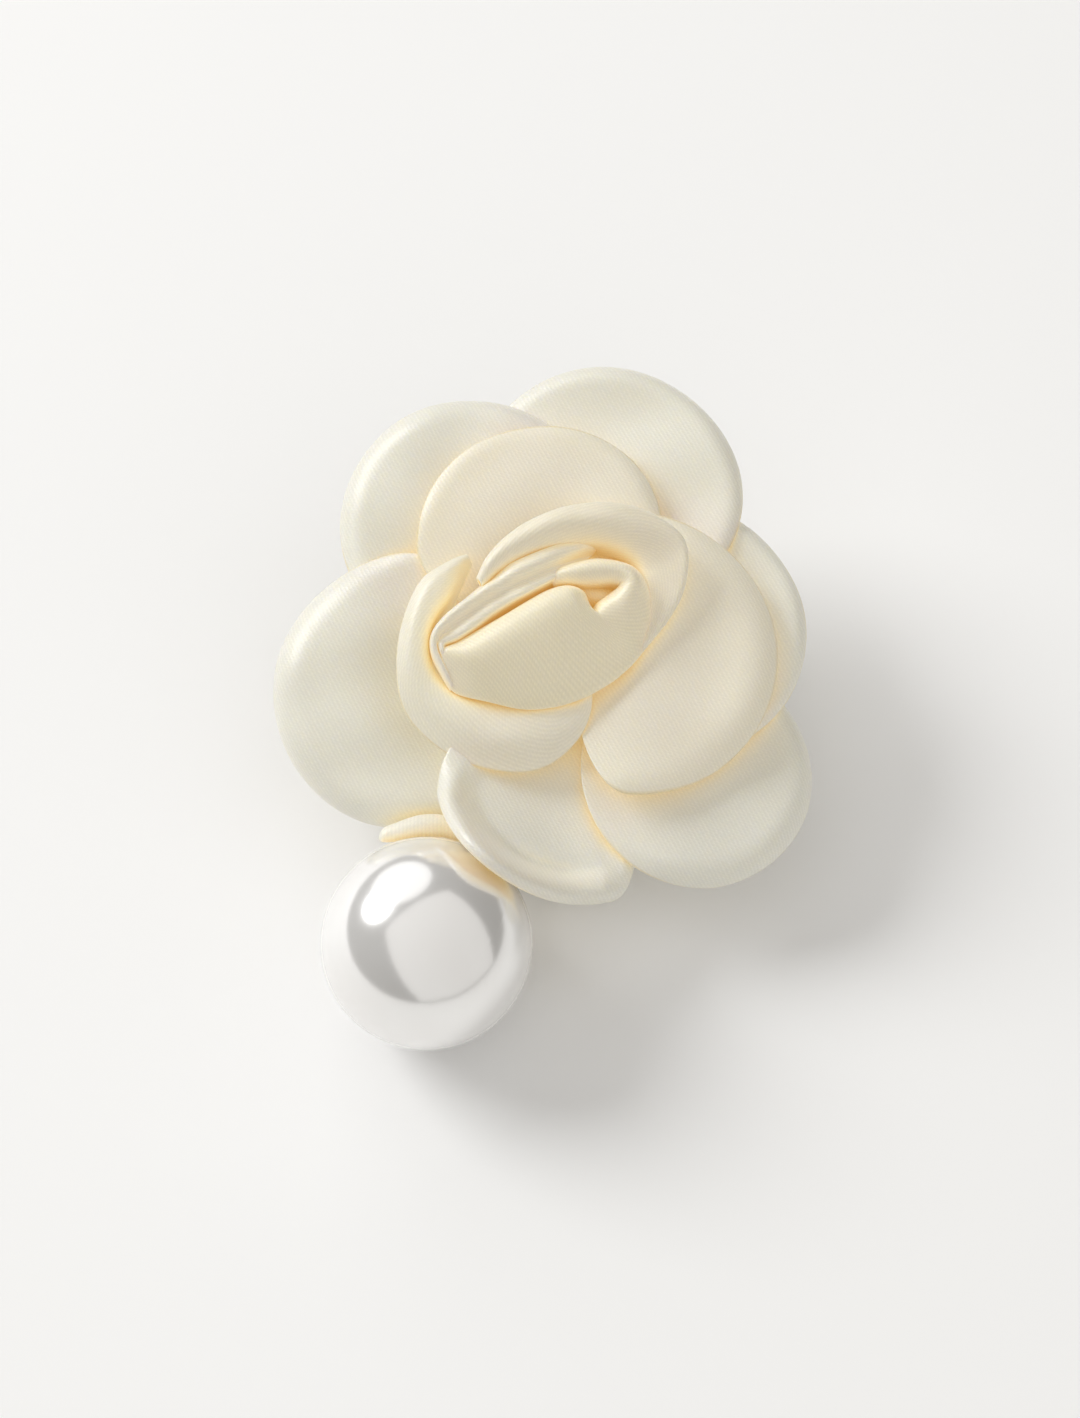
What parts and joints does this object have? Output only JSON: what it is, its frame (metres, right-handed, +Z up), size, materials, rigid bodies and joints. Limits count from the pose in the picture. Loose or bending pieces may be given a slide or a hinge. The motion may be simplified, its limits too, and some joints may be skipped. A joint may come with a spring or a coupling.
{
  "type": "flower hair clip",
  "caption": "Spring hair clip with jaw teeth carrying a satin rose of overlapping cupped petals and a rolled bud, with a hanging faux pearl.",
  "frame": {"origin": "on the flat underside of the bottom arm, under the middle of the flower", "axes": "+Y runs along the clip from the nose to the thumb tabs, +Z goes up through the flower from the underside, +X to the right seen from the nose"},
  "size_m": [0.0399, 0.0509, 0.0213],
  "materials": {
    "steel": "polished plated sheet and wire",
    "satin": "ivory satin with a soft sheen",
    "felt": "matt ivory felt",
    "pearl": "pearl lacquer"
  },
  "bodies": {
    "clip_base": {"clip_bottom_arm": "steel", "hinge_pin": "steel", "torsion_spring": "steel"},
    "flower_head": {"clip_top_arm": "steel", "felt_backing": "felt", "base_plate": "steel", "flower_stem": "felt", "outer_petal_1": "satin", "outer_petal_2": "satin", "outer_petal_3": "satin", "outer_petal_4": "satin", "outer_petal_5": "satin", "outer_petal_6": "satin", "middle_petal_1": "satin", "middle_petal_2": "satin", "middle_petal_3": "satin", "inner_petal": "satin", "bud_outer_wrap": "satin", "bud_inner_wrap": "satin", "bud_core": "satin"},
    "drop_ring": {"jump_ring": "steel"},
    "pearl_drop": {"pearl_peg": "steel", "pearl": "pearl"}
  },
  "joints": [
    {"name": "clip_open", "type": "hinge", "parent": "clip_base", "child": "flower_head", "pos_m": [0, 0.006, 0.0038], "axis": [-1, 0, 0], "range_deg": [0, 38], "stiffness_Nm_per_rad": 0.03, "springref_deg": -57.3, "deforming": ["torsion_spring"]},
    {"name": "ring_swing", "type": "hinge", "parent": "flower_head", "child": "drop_ring", "pos_m": [-0.00383, -0.01077, 0.00516], "axis": [0.9413, -0.3375, 0], "range_deg": [0, 50]},
    {"name": "pearl_turn", "type": "hinge", "parent": "drop_ring", "child": "pearl_drop", "pos_m": [-0.00446, -0.01252, 0.00553], "axis": [0.0667, 0.186, 0.9803], "range_deg": [-4, 4]}
  ]
}
